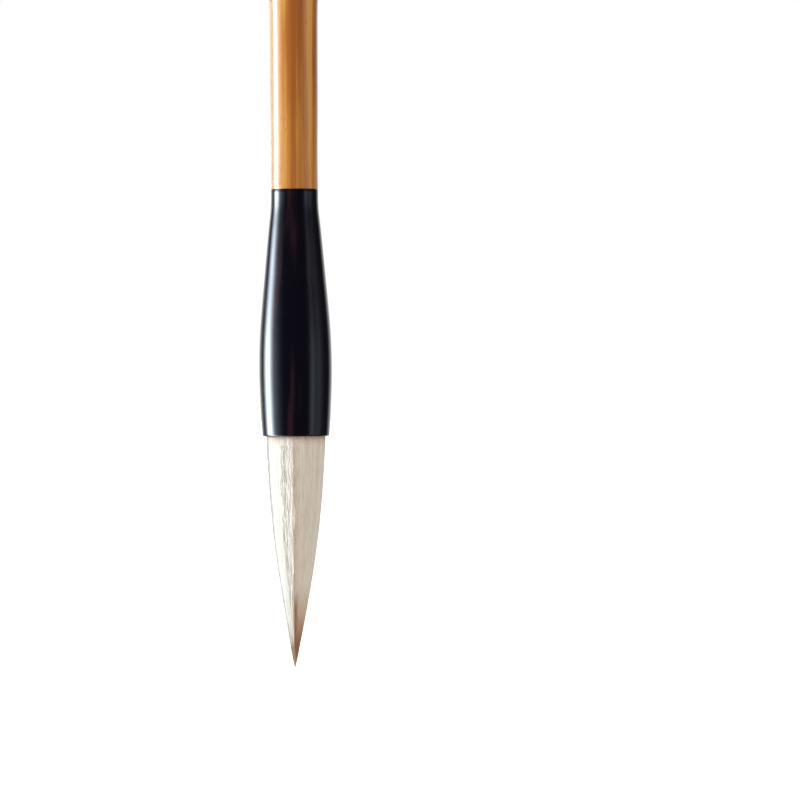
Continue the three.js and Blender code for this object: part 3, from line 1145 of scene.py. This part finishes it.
@dataclass
class TuftShape:
    """The tuft's outline, its keel down the front, its locks of hair and its slight lean.

    outline is (height, radius), and core the brown core's share of it. The keel wanders off its
    angle in waves of (size, length, start), and gains height over keel_gain. Its crest is a height
    and a width. The locks are roughest beside the keel, and held flat near the ferrule.
    """

    outline: Keys = field(default_factory=lambda: [
        (0.0, 0.12 * MM), (3.7 * MM, 0.8 * MM), (14.9 * MM, 2.76 * MM), (23.9 * MM, 4.21 * MM),
        (32.8 * MM, 5.3 * MM), (41.8 * MM, 6.01 * MM), (51.7 * MM, 6.5 * MM), (65.3 * MM, 6.5 * MM)])
    core: Keys = field(default_factory=lambda: [
        (0.0, 1.0), (3.5 * MM, 1.0), (7 * MM, 0.86), (14 * MM, 0.62), (28 * MM, 0.42), (72 * MM, 0.42)])
    core_flutes: Waves = ((0.03, 23, 400), (0.02, 41, -300))
    belly_share: float = 0.7
    belly_flutes: Waves = ((0.012, 31, 300),)
    keel_angle: float = -0.07
    keel_width: float = 0.34
    keel_sway: Waves = ((0.03, 4.3 * MM, 0), (0.02, 1.9 * MM, 2))
    keel_height: Span = (0.03, 0.16)
    keel_gain: Span = (53 * MM, 38 * MM)
    keel_end: Span = (53 * MM, 50 * MM)
    crest: Span = (0.022, 0.07)
    rough_off: float = 0.16
    rough_width: float = 0.2
    held: float = 0.25
    held_end: Span = (52.5 * MM, 46 * MM)
    full_radius: float = 6.5 * MM
    lean: float = -0.5 * MM
    lean_growth: float = 1.5
    waist: tuple[float, float, float] = (65.2 * MM, 65.9 * MM, 5.8 * MM)
    locks: list[tuple[RoundNoise, float]] = field(default_factory=lambda: [
        (RoundNoise(11, 26, 19 * MM), 0.05 * MM), (RoundNoise(12, 60, 14 * MM), 0.045 * MM),
        (RoundNoise(13, 130, 10 * MM), 0.035 * MM)])

    def plain(self, height: np.ndarray) -> np.ndarray:
        """The tuft's smooth radius at heights, waisted under the binding thread."""
        low, high, waist = self.waist
        radius = smooth_through(self.outline, height)
        return np.where(height > low, radius + (waist - radius) * smoothstep(low, high, height), radius)

    def keel(self, around: np.ndarray, height: np.ndarray) -> np.ndarray:
        """How far the keel stands out, as a share of the radius."""
        line: Any = self.keel_angle
        for size, length, start in self.keel_sway:
            line = line + size * np.sin(height / length + start)
        off = np.abs(half_turn(around - line))
        least, gain = self.keel_height
        rise = gain * smoothstep(*self.keel_gain, height) + least
        crest = self.crest[0] * np.exp(-off / self.crest[1])
        return (rise * np.exp(-off / self.keel_width) + crest) * smoothstep(*self.keel_end, height)

    def coat(self, around: np.ndarray, height: np.ndarray) -> np.ndarray:
        """The coat's radius at angles and heights."""
        radius = self.plain(height)
        off = np.abs(half_turn(around - self.keel_angle + self.rough_off))
        rough = 1 + hump(0.0, self.rough_width, off)
        free = smoothstep(*self.held_end, height) * (1 - self.held) + self.held
        locks = sum(size * noise.at(around, height) for noise, size in self.locks)
        locks = locks * rough * free * np.sqrt(radius / self.full_radius)
        return radius * (1 + self.keel(around, height)) + locks

    def core_radius(self, around: np.ndarray, height: np.ndarray) -> np.ndarray:
        """The brown core's radius: the whole tuft's at the tip."""
        share = smooth_through(self.core, height)
        fluting = rippled(1.0, self.core_flutes, around, height)
        return self.plain(height) * (1 + self.keel(around, height) * share) * share * fluting

    def belly_radius(self, around: np.ndarray, height: np.ndarray) -> np.ndarray:
        """The filler hair's radius."""
        return self.plain(height) * self.belly_share * rippled(1.0, self.belly_flutes, around, height)

    def leaned(self, points: np.ndarray) -> np.ndarray:
        """Points moved with the tuft's lean, which grows towards the tip."""
        mouth = LEVELS.height(LEVELS.mouth)
        share = np.clip((mouth - (points[:, 2] - LEVELS.tip)) / mouth, 0, 1) ** self.lean_growth
        return points + np.outer(share * self.lean, [1, 0, 0])


Edge = tuple[float, float, float]


@dataclass(frozen=True)
class HairPattern:
    """Where the hair's colours lie, each as a share from 0 to 1 that the finish mixes in.

    Angles are measured from the keel's line, but those of the painted shade down the left side from
    the front. A span is where a colour is absent and where it is whole. A patch is its middle and its
    width. An edge is its top height, how many millimetres lower the colour is whole, and how many it
    straggles from strand to strand. A shade is its least share and what a strand's chance adds. grain
    and cloud are the seed, count and length of a noise. Some colours are painted light: white on the
    lit left side, gold beside the keel near the tip, and brown held low on the left; the lip's
    darkening and the shade attribute are painted shade.
    """

    grain: tuple[int, int, float] = (21, 200, 25 * MM)
    cloud: tuple[int, int, float] = (22, 16, 30 * MM)
    loose_tone: Span = (0.3, 0.75)
    plain_tone: Span = (0.25, 0.35)
    keel_patch: Span = (0.1, 0.21)
    keel_edge: Edge = (18.5 * MM, 6.0, 0.0)
    keel_shade: Span = (0.88, 0.12)
    right_edge: Edge = (19.5 * MM, 16.0, 7.0)
    right_share: float = 0.92
    # painted light: on the lit left side the brown is held near the tip
    lit_side_edge: Edge = (6.4 * MM, 4.5, 2.5)
    lit_side_share: float = 0.85
    lit_side: tuple[Span, Span] = ((0.0, -0.16), (-1.9, -1.4))
    core_shade: Span = (0.75, 0.25)
    # painted shadow: the hair darkened just under the ferrule's lip
    lip_shadow: Span = (50.2 * MM, 51.6 * MM)
    lip_shadow_share: float = 0.6
    brown_strand: Span = (0.03, 0.06)
    brown_strand_share: float = 0.5
    brown_strand_chance: float = 0.8
    gold_tip: Span = (3.4 * MM, 0.8 * MM)
    # painted highlight: the gold patch beside the keel near the tip
    lit_gold_side: Span = (6 * MM, 3 * MM)
    lit_gold_patch: Span = (-0.3, 0.4)
    gold_and_lit_share: float = 0.7
    rosy_cloud: Span = (0.5, 0.95)
    rosy_cloud_share: float = 0.25
    rosy_low: Span = (22 * MM, 6 * MM)
    rosy_low_share: float = 0.4
    rosy_patch: Span = (0.22, 0.2)
    rosy_patch_share: float = 0.3
    # painted light: where the lit left side is painted whiter
    lit_white_side: tuple[Span, Span] = ((0.04, -0.12), (-1.75, -1.3))
    lit_white_shade: Span = (0.25, 0.35)
    lit_white_rise: Span = (5 * MM, 14 * MM)
    lit_white_low: Span = (0.3, 0.7)
    # painted shade: a dark band down the tuft's left side that draws its outline
    rim_shade_line: Span = (0.3, -1.5)
    rim_shade_edge: Span = (0.12, -0.08)
    rim_shade_back: Span = (-1.95, -1.65)
    rim_shade_rise: Span = (0.5 * MM, 4 * MM)
    rim_shade_share: tuple[float, float, float] = (0.6, 0.2, 0.2)
    # painted shadow: some loose strands left of the keel are darkened
    shadowed_strand: tuple[Span, Span] = ((-0.6, -0.4), (0.0, -0.06))
    shadowed_strand_share: float = 0.42
    shadowed_strand_chance: float = 0.25

    def below(self, edge: Edge, height: np.ndarray, chance: np.ndarray) -> np.ndarray:
        """How whole a colour is under its edge."""
        top, reach, straggle = edge
        return smoothstep(0.0, reach, (top - height) / MM + straggle * (chance - 0.5))

    def shaded(self, shade: Span, chance: np.ndarray) -> np.ndarray:
        """A shade's share for each point's chance."""
        return shade[0] + shade[1] * chance

    def brown(self, off: np.ndarray, height: np.ndarray, chance: np.ndarray) -> np.ndarray:
        """How brown the white hair is: from the tip up, higher on the right and along the keel; on the lit
        left side it starts only near the tip, which is painted light.

        Args:
            off: angles from the keel's line.
            height: heights above the tip.
            chance: a random number for each strand.

        Returns:
            A share between 0 and 1.
        """
        near = hump(*self.keel_patch, off) * self.below(self.keel_edge, height, chance)
        far = self.below(self.right_edge, height, chance) * self.right_share
        shown = np.maximum(near * self.shaded(self.keel_shade, chance), far)
        # Painted light: on the lit left side the brown starts only near the tip, keeping that side pale.
        late = self.below(self.lit_side_edge, height, chance) * self.lit_side_share
        return shown + (late - shown) * between(*self.lit_side, off)

    def shares(self, kind: HairKind, shape: TuftShape, around: np.ndarray, height: np.ndarray,
               strand: np.ndarray) -> dict[str, np.ndarray]:
        """The share of each colour at points of the hair.

        Args:
            kind: the layer of hair.
            shape: the tuft's shape.
            around: the points' angles.
            height: their heights above the tip.
            strand: the number of each one's strand, or -1.

        Returns:
            The shares by the name of the colour, and the tone.
        """
        none = np.zeros(len(around))
        grain = RoundNoise(*self.grain).at(around, height) * 0.5 + 0.5
        patch = RoundNoise(*self.cloud).at(around, height) * 0.5 + 0.5
        loose = strand >= 0
        chance = np.where(loose, scatter(strand), grain)
        off = half_turn(around - shape.keel_angle)
        tone = np.where(loose, self.shaded(self.loose_tone, chance), self.shaded(self.plain_tone, chance))
        brown = {HairKind.COAT: self.brown(off, height, chance), HairKind.BELLY: none,
                 HairKind.CORE: self.shaded(self.core_shade, chance)}[kind]
        # Painted shadow: the hair just under the ferrule's lip is darkened with brown, as the lip's shade.
        brown = np.maximum(brown, smoothstep(*self.lip_shadow, height) * self.lip_shadow_share)
        streak = np.maximum(brown, self.brown_strand_share * hump(*self.brown_strand, off))
        brown = np.where(loose & (chance > self.brown_strand_chance), streak, brown)
        # Painted highlight: gold on the left of the keel near the tip, where the key light catches brown
        # hair; the last few millimetres are the tip's own amber.
        side = smoothstep(*self.lit_gold_side, height) * hump(*self.lit_gold_patch, off)
        gold_and_lit = np.maximum(smoothstep(*self.gold_tip, height), side) * self.gold_and_lit_share
        warm = hump(*self.rosy_patch, off) * self.rosy_patch_share
        rosy = smoothstep(*self.rosy_cloud, patch) * self.rosy_cloud_share
        rosy = np.clip(rosy + smoothstep(*self.rosy_low, height) * self.rosy_low_share + warm, 0, 1)
        # Painted light: the left side of the keel, where the key light falls, is painted whiter, more so
        # higher up.
        white = between(*self.lit_white_side, off) * self.shaded(self.lit_white_shade, chance)
        white *= self.shaded(self.lit_white_low, smoothstep(*self.lit_white_rise, height))
        # Painted shade: a dark band down the left side, standing in for the shadow between locks where the
        # outline turns from the light; it stops short of the tip.
        line = self.rim_shade_line[0] * np.sqrt(shape.full_radius / shape.plain(height)) + self.rim_shade_line[1]
        shade = between((line + self.rim_shade_edge[0], line + self.rim_shade_edge[1]), self.rim_shade_back, around)
        least, cloudy, strandy = self.rim_shade_share
        shade *= (least + cloudy * patch + strandy * chance) * smoothstep(*self.rim_shade_rise, height)
        # Painted shadow: a quarter of the loose strands just left of the keel are darkened, as the shadows
        # between strands.
        dark = np.where(loose & (chance < self.shadowed_strand_chance), self.shadowed_strand_share, 0.0)
        shade = np.maximum(shade, dark * between(*self.shadowed_strand, off))
        return {"tone": tone, "brown": brown, "gold_and_lit": gold_and_lit, "rosy": rosy, "white": white,
                "shade": shade if kind is HairKind.COAT else none}


@dataclass(frozen=True)
class StrandLay:
    """How one kind of strand is laid.

    The strands end between two heights above the tip, and are spread over a sector, given by its
    middle and its half-width. wander is an angle, and wave the length that it swings over.
    """

    strands: int
    seed: int
    thickness: float
    wander: float
    wave: float
    lift: float
    ends: Span
    sector: Span = (0.0, math.pi)

    def inputs(self) -> dict[str, Any]:
        """The strand tool's inputs."""
        low, high = (end + LEVELS.tip for end in self.ends)
        return {"Strands": self.strands, "Seed": self.seed, "Thickness": self.thickness,
                "Wander": self.wander, "Wave": self.wave, "Lift": self.lift, "End_low": low,
                "End_high": high, "Sector": self.sector[0], "Sector_width": self.sector[1]}


Surface = Callable[[np.ndarray, np.ndarray], np.ndarray]


@dataclass
class Tuft:
    """The hair, cut into zones that each bend over one pivot."""

    strands: StrandTool
    shape: TuftShape = field(default_factory=TuftShape)
    finish: HairFinish = field(default_factory=HairFinish)
    pattern: HairPattern = field(default_factory=HairPattern)
    root_top: float = 72 * MM
    sides: int = 288
    row: float = 0.55 * MM
    bed_rows: int = 220
    clearance: float = 0.05 * MM
    thinnest: float = 0.04 * MM
    end_depth: float = 0.05 * MM
    ragged_foot: Span = (6.3 * MM, 1.1 * MM)
    belly_zones: int = 3
    strand_top: float = 58 * MM
    strand_step: float = 1.1 * MM
    coat_lay: StrandLay = StrandLay(
        1000, 1, 0.075 * MM, 0.012, 17 * MM, 0.05 * MM, (1.2 * MM, 7.5 * MM))
    loose_lay: StrandLay = StrandLay(
        60, 9, 0.08 * MM, 0.05, 11 * MM, 0.2 * MM, (2 * MM, 30 * MM), (TuftShape.keel_angle - 0.17, 0.3))
    core_lay: StrandLay = StrandLay(
        170, 5, 0.08 * MM, 0.02, 15 * MM, 0.02 * MM, (0.0, 1.6 * MM))

    def levels(self) -> list[float]:
        """Heights where one zone meets the next, from the roots to the tip.

        Returns:
            The roots' top, then the middle heights between pivots, then the tip.
        """
        pivots = [LEVELS.height(z) for z in LEVELS.pivots]
        step = pivots[0] - pivots[1]
        return [self.root_top, pivots[0] + step / 2, *(p - step / 2 for p in pivots[:-1]), 0.0]

    def rings(self, surface: Surface, low: np.ndarray, high: float, rows: int) -> np.ndarray:
        """Rings of points on a surface.

        Args:
            surface: radius from angle and height.
            low: the lowest height, for each angle.
            high: the highest height.
            rows: how many steps between them.

        Returns:
            An array of rows by sides by 3.
        """
        around = np.linspace(0, TURN, self.sides, endpoint=False)
        share = np.linspace(0, 1, rows + 1)[:, None]
        height = low[None, :] + (high - low[None, :]) * share
        angle = np.broadcast_to(around, height.shape)
        radius = surface(angle, height)
        return np.stack([radius * np.sin(angle), -radius * np.cos(angle), height + LEVELS.tip], axis=-1)

    def ragged(self, height: float, depth: float) -> np.ndarray:
        """A ragged edge round the axis, about a height."""
        around = np.linspace(0, TURN, self.sides, endpoint=False)
        teeth = RoundNoise(31, 72, 1.0).at(around, np.zeros(self.sides))
        return height + depth * teeth

    def bed(self, surface: Surface) -> Mesh:
        """A layer's whole surface, which its strands are laid on."""
        rings = self.rings(surface, np.zeros(self.sides), self.root_top + MM, self.bed_rows)
        return shell(rings).mesh("bed")

    def layer(self, kind: HairKind, low: float, high: float) -> Facets:
        """One layer's solid between two heights.

        Args:
            kind: the layer of hair.
            low: the lower height.
            high: the upper height.

        Returns:
            The closed solid.
        """
        rows = max(3, round((high - low) / self.row))
        foot = np.full(self.sides, low)
        if kind is HairKind.CORE:
            return shell(self.rings(self.shape.core_radius, foot, high, rows))
        gap = self.clearance

        filled = high > self.levels()[self.belly_zones + 1] + self.row
        shape = self.shape
        within = shape.belly_radius if filled and kind is HairKind.COAT else shape.core_radius

        def clear(around: np.ndarray, height: np.ndarray) -> np.ndarray:
            """The radius of a bore that stands clear of the layer inside."""
            return within(around, height) + gap

        def bore(around: np.ndarray, height: np.ndarray) -> np.ndarray:
            """The coat's bore, which leaves the coat a wall however thin it gets."""
            return np.minimum(clear(around, height), shape.coat(around, height) - self.thinnest)

        if kind is HairKind.BELLY:
            return shell(self.rings(shape.belly_radius, foot, high, rows),
                         self.rings(clear, foot, high, rows))
        if low == 0.0:
            foot = self.ragged(*self.ragged_foot)
        return shell(self.rings(shape.coat, foot, high, rows), self.rings(bore, foot, high, rows))

    def dress(self, name: str, kind: HairKind, facets: Facets, material: Material) -> Object:
        """Make a piece of hair and write the attributes that its finish reads.

        Args:
            name: the piece's name.
            kind: the layer of hair.
            facets: its points and faces, before the lean.
            material: the layer's finish.

        Returns:
            The piece.
        """
        points = facets.points
        around, height = np.arctan2(points[:, 0], -points[:, 1]), points[:, 2] - LEVELS.tip
        shares = self.pattern.shares(kind, self.shape, around, height, facets.strand)
        facets.points = self.shape.leaned(points)
        mesh = facets.mesh(name)
        for label, values in shares.items():
            store = mesh.attributes.new(label, "FLOAT", "POINT")
            store.data.foreach_set("value", values.astype(np.float32))
        rest = mesh.attributes.new("rest", "FLOAT_VECTOR", "POINT")
        rest.data.foreach_set("vector", points.astype(np.float32).ravel())
        piece = add_piece(name, mesh, material, sharp=None)
        self.crease_ends(mesh, height, facets.strand >= 0)
        return piece

    def crease_ends(self, mesh: Mesh, height: np.ndarray, loose: np.ndarray) -> None:
        """Keep the flat ends of a zone out of the shading of its sides.

        Args:
            mesh: the zone's mesh.
            height: its points' heights.
            loose: True for the points of strands.
        """
        body, depth = height[~loose], self.end_depth
        ends = (np.abs(height - body.min()) < depth) | (np.abs(height - body.max()) < depth)
        pairs = np.empty(len(mesh.edges) * 2, np.int32)
        mesh.edges.foreach_get("vertices", pairs)
        sharp = ends[pairs.reshape(-1, 2)].all(axis=1)
        attributes = mesh.attributes
        store = attributes.get("sharp_edge") or attributes.new("sharp_edge", "BOOLEAN", "EDGE")
        store.data.foreach_set("value", sharp)

    def place(self, piece: Object, zone: int, slot: str, nodes: list[str]) -> None:
        """Join a piece to the bodies that it bends between, and hide the CAD nodes that it stands for.

        Args:
            piece: the piece of hair.
            zone: its zone, 0 for the roots.
            slot: the record's material slot; not used.
            nodes: the CAD nodes that it stands for.
        """
        if nodes:
            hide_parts(*nodes)
        if zone == 0:
            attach(piece, LEVELS.bodies[0])
            return
        pivot = LEVELS.pivots[zone - 1]
        half = (LEVELS.pivots[0] - LEVELS.pivots[1]) / 2
        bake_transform(piece, LEVELS.bodies[zone - 1], LEVELS.bodies[zone],
                 start=(0, 0, pivot + half), end=(0, 0, pivot - half))

    def lay(self, bed: Mesh, top: float, foot: float, material: Material, how: StrandLay) -> Facets:
        """Lay strands over one zone.

        Args:
            bed: the surface that they follow.
            top: the zone's upper height.
            foot: its lower height.
            material: the finish.
            how: the strands' count, size and spread.

        Returns:
            The strands.
        """
        steps = max(4, round((top - foot) / self.strand_step))
        mesh = self.strands.run(bed, Top=top + LEVELS.tip, Foot=foot + LEVELS.tip, Steps=steps,
                                Material=material, **how.inputs())
        facets = Facets.of_mesh(mesh)
        bpy.data.meshes.remove(mesh)
        return facets

    def build(self) -> list[Object]:
        """Make every layer of every zone.

        Returns:
            The pieces of hair.
        """
        finishes = {kind: self.finish.material(kind) for kind in HairKind}
        bed, core_bed = self.bed(self.shape.coat), self.bed(self.shape.core_radius)
        levels = self.levels()
        made = []
        for zone, (top, foot) in enumerate(zip(levels, levels[1:])):
            last = zone == len(levels) - 2
            suffix = "root" if zone == 0 else "tip" if last else str(zone)
            finish = finishes[HairKind.COAT]
            coat_top = min(top, self.strand_top)
            coat = self.layer(HairKind.COAT, foot, top)
            coat = coat.plus(self.lay(bed, coat_top, foot, finish, self.coat_lay))
            if zone > 0:
                loose = self.lay(bed, coat_top, foot, finish, self.loose_lay)
                loose.strand += self.coat_lay.strands
                coat = coat.plus(loose)
            piece = self.dress(f"coat_hair_{suffix}", HairKind.COAT, coat, finish)
            self.place(piece, zone, "coat_hair", [] if last else [f"hair_coat_{suffix}"])
            made.append(piece)
            finish = finishes[HairKind.CORE]
            core = self.layer(HairKind.CORE, foot, top)
            core = core.plus(self.lay(core_bed, top, foot, finish, self.core_lay))
            piece = self.dress(f"core_hair_{suffix}", HairKind.CORE, core, finish)
            self.place(piece, zone, "core_hair", [f"hair_core_{suffix}"])
            made.append(piece)
            if zone <= self.belly_zones:
                belly = self.layer(HairKind.BELLY, foot, top)
                piece = self.dress(f"belly_hair_{suffix}", HairKind.BELLY, belly, finishes[HairKind.BELLY])
                self.place(piece, zone, "belly_hair", [f"hair_belly_{suffix}"])
                made.append(piece)
        return made


# ---------------------------------------------------------------- the studio


@dataclass(frozen=True)
class Glow:
    """One soft light as polished surfaces see it.

    azimuth is measured from the camera's side in degrees, negative to the left. width is the
    half-angle where it has faded, and glow is its radiance.
    """

    azimuth: float
    width: float
    glow: float

    def socket(self, g: Graph, azimuth: Any) -> NodeSocket:
        """Its radiance at an azimuth in radians."""
        off = g.over(g.minus(azimuth, math.radians(self.azimuth)), math.radians(self.width))
        fall = g.math("EXPONENT", g.times(g.times(off, off), -1))
        return g.times(fall, self.glow)


@dataclass
class Softbox:
    """An upright area light that faces the brush and lights its dull surfaces.

    azimuth and width are as for a glow, and glow is its radiance.
    """

    name: str
    azimuth: float
    width: float
    glow: float
    colour: Colour = (1, 1, 1)
    distance: float = 0.9
    height: float = 1.5
    level: float = -0.15

    def build(self) -> None:
        """Hang the light."""
        data = bpy.data.lights.new(self.name, "AREA")
        data.shape = "RECTANGLE"
        data.size = 2 * self.distance * math.tan(math.radians(self.width / 2))
        data.size_y = self.height
        data.energy = self.glow * data.size * data.size_y * math.pi
        data.color = self.colour
        light = bpy.data.objects.new(self.name, data)
        turn = math.radians(self.azimuth)
        away = Vector((math.sin(turn), -math.cos(turn), 0))
        light.location = away * self.distance + Vector((0, 0, self.level))
        light.rotation_mode = "QUATERNION"
        light.rotation_quaternion = away.to_track_quat("Z", "Y")
        light.visible_camera = False
        light.visible_glossy = False
        bpy.context.scene.collection.objects.link(light)


@dataclass
class Studio:
    """The camera, the lights, the white surroundings and the pale floor.

    behind, above and below map the direction of a reflection to a share of what it sees: behind
    by how far back it looks, and above and below by how steeply.
    """

    lens: float = 250.0
    sensor: float = 36.0
    clip: Span = (0.01, 100.0)
    distance: float = 1.245
    view_height: float = 59.7 * MM
    view_side: float = 23.35 * MM
    roll: float = 0.33
    floor_drop: float = 0.06
    floor_reach: float = 30.0
    floor_colour: Colour = (0.9, 0.9, 0.9)
    floor_glow: float = 0.8
    ambient: float = 0.8
    behind: tuple[float, ...] = (0.6, 0.92, 0.04, 1.0)
    above: tuple[float, ...] = (0.02, 0.22, 1.0, 0.35)
    below: tuple[float, ...] = (-0.85, -0.5, 0.25, 1.0)
    softboxes: list[Softbox] = field(default_factory=lambda: [
        Softbox("key", -68, 30, 6.6, (0.72, 0.86, 1.0)),
    ])
    glows: list[Glow] = field(default_factory=lambda: [
        Glow(-98, 14, 27.0), Glow(-70, 16, 1.2), Glow(57, 9, 0.85), Glow(80, 16, 0.5),
    ])
    glow_tint: Colour = (0.84, 0.96, 1.1)

    def camera(self) -> None:
        """Set a level long-lens camera in front of the tuft."""
        data = bpy.data.cameras.new("camera")
        data.lens, data.sensor_width = self.lens, self.sensor
        data.clip_start, data.clip_end = self.clip
        camera = bpy.data.objects.new("camera", data)
        camera.location = (self.view_side, -self.distance, LEVELS.tip + self.view_height)
        camera.rotation_euler = (math.radians(90), math.radians(self.roll), 0)
        bpy.context.scene.collection.objects.link(camera)
        bpy.context.scene.camera = camera

    def surroundings(self) -> None:
        """White behind the brush, soft glows in reflections, and an even light on dull surfaces."""
        world = bpy.data.worlds.new("studio")
        bpy.context.scene.world = world
        world.use_nodes = True
        g = Graph(world.node_tree)
        direction = g.node("ShaderNodeTexCoord").outputs["Generated"]
        parts = g.node("ShaderNodeSeparateXYZ", {0: direction}).outputs
        azimuth = g.math("ARCTAN2", parts[0], g.times(parts[1], -1))
        behind = g.span(parts[1], *self.behind)
        shine: Any = 0.0
        for glow in self.glows:
            shine = g.add(shine, glow.socket(g, azimuth))
        reach = g.times(g.span(parts[2], *self.above), g.span(parts[2], *self.below))
        path = g.node("ShaderNodeLightPath").outputs
        dull = g.times(path["Is Diffuse Ray"], self.ambient)
        polished = g.times(path["Is Glossy Ray"], behind)
        lit = g.math("MAXIMUM", path["Is Camera Ray"], g.add(dull, polished))
        white = g.node("ShaderNodeBackground", {"Color": (1, 1, 1, 1), "Strength": lit}).outputs[0]
        seen = g.times(path["Is Glossy Ray"], g.times(shine, reach))
        tint = (*self.glow_tint, 1)
        cool = g.node("ShaderNodeBackground", {"Color": tint, "Strength": seen}).outputs[0]
        both = g.node("ShaderNodeAddShader", {0: white, 1: cool}).outputs[0]
        g.feed(g.node("ShaderNodeOutputWorld").inputs["Surface"], both)

    def floor(self) -> None:
        """Lay a wide pale floor a little below the tip."""
        mesh = bpy.data.meshes.new("floor")
        z, reach = LEVELS.tip - self.floor_drop, self.floor_reach
        mesh.from_pydata([(-reach, -reach, z), (reach, -reach, z), (reach, reach, z), (-reach, reach, z)],
                         [], [(0, 1, 2, 3)])
        g = ShaderGraph("floor", Roughness=0.9, Specular_IOR_Level=0.0)
        g.surface.inputs["Emission Color"].default_value = (1, 1, 1, 1)
        g.surface.inputs["Emission Strength"].default_value = self.floor_glow
        mesh.materials.append(g.use(Base_Color=(*self.floor_colour, 1)))
        floor = bpy.data.objects.new("floor", mesh)
        floor.visible_glossy = False
        floor.visible_diffuse = False
        bpy.context.scene.collection.objects.link(floor)

    def build(self) -> None:
        """Set up everything that isn't the brush."""
        self.camera()
        self.surroundings()
        self.floor()
        for box in self.softboxes:
            box.build()
        bpy.context.scene.view_settings.view_transform = "Standard"


def main() -> None:
    """Build the studio, the handle and the tuft."""
    logging.basicConfig(level=logging.INFO, format="%(name)s: %(message)s")
    Studio().build()
    turning = TurningTool()
    Shaft(turning).build()
    Ferrule(turning).build()
    EndCap(turning).build()
    RootFastening(WindingTool()).build()
    Tuft(StrandTool()).build()


if __name__ == "__main__":
    main()
